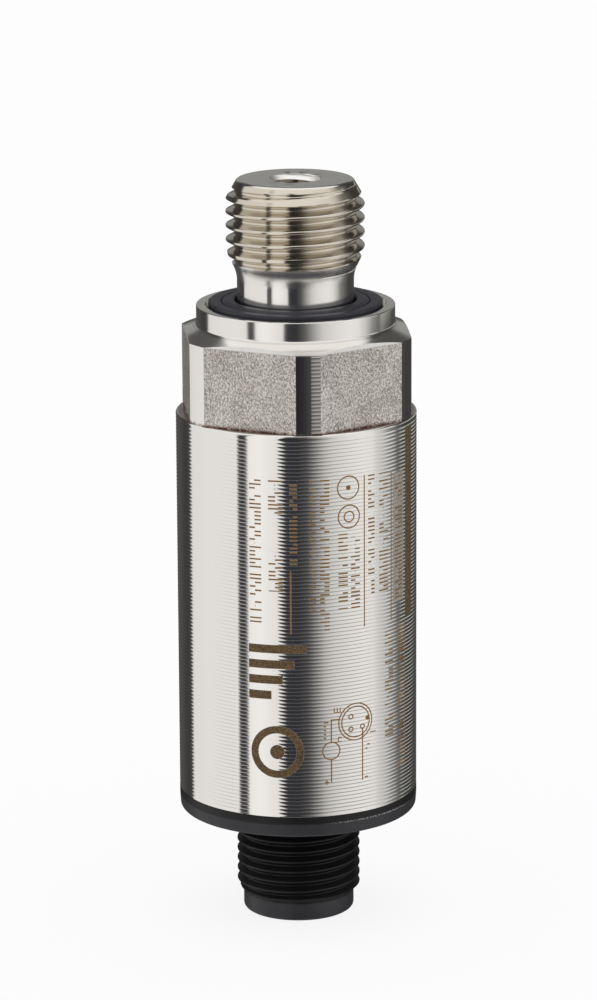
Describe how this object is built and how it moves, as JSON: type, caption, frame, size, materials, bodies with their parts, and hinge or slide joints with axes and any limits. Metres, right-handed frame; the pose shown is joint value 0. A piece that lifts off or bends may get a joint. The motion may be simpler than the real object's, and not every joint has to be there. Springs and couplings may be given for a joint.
{
  "type": "pressure transmitter",
  "caption": "Slim stainless pressure transmitter: a G1/4 male stud with a profile seal and a hexagon on top, a grooved round housing, and a black M12 male connector below.",
  "frame": {"origin": "centre of the collar's sealing face, on the axis of the process thread", "axes": "+Z out through the process thread, -Z out through the connector; two corners of the hexagon lie on the Y axis, and the connector's key lies towards -Y"},
  "size_m": [0.023, 0.023, 0.072],
  "materials": {
    "stainless_port": "turned stainless steel, bright on round faces and matt on the flats",
    "stainless_sleeve": "stainless steel turned with fine grooves, with golden-brown laser etching",
    "seal_rubber": "smooth black rubber",
    "black_plastic": "satin black glass-filled plastic",
    "cell_ceramic": "ground alumina",
    "ring_rubber": "black rubber",
    "support_plastic": "tan high-temperature plastic",
    "clamp_steel": "turned stainless steel",
    "lead_metal": "tinned",
    "cradle_plastic": "natural moulded plastic",
    "board_laminate": "green glass-fibre laminate",
    "chip_plastic": "black moulded chip package",
    "capacitor_ceramic": "tan ceramic with tinned ends",
    "resistor_ceramic": "black film on ceramic",
    "pin_gold": "gold-plated brass",
    "carrier_plastic": "black moulded insulator",
    "potting_resin": "cast black resin"
  },
  "bodies": {
    "root": {"pressure_port": "stainless_port", "profile_seal": "seal_rubber", "cell_o_ring": "ring_rubber", "cell_diaphragm": "cell_ceramic", "cell_base": "cell_ceramic", "cell_support_ring": "support_plastic", "cell_clamp_ring": "clamp_steel", "cell_leads": "lead_metal", "housing_sleeve": "stainless_sleeve", "board_cradle": "cradle_plastic", "circuit_board": "board_laminate", "signal_chip": "chip_plastic", "output_driver": "chip_plastic", "protection_diodes": "chip_plastic", "ceramic_capacitors": "capacitor_ceramic", "chip_resistors": "resistor_ceramic", "pin_carrier": "carrier_plastic", "pin_potting": "potting_resin", "connector_housing": "black_plastic", "housing_o_ring": "ring_rubber", "contact_pin_1": "pin_gold", "contact_pin_2": "pin_gold", "contact_pin_3": "pin_gold", "contact_pin_4": "pin_gold"}
  },
  "joints": []
}
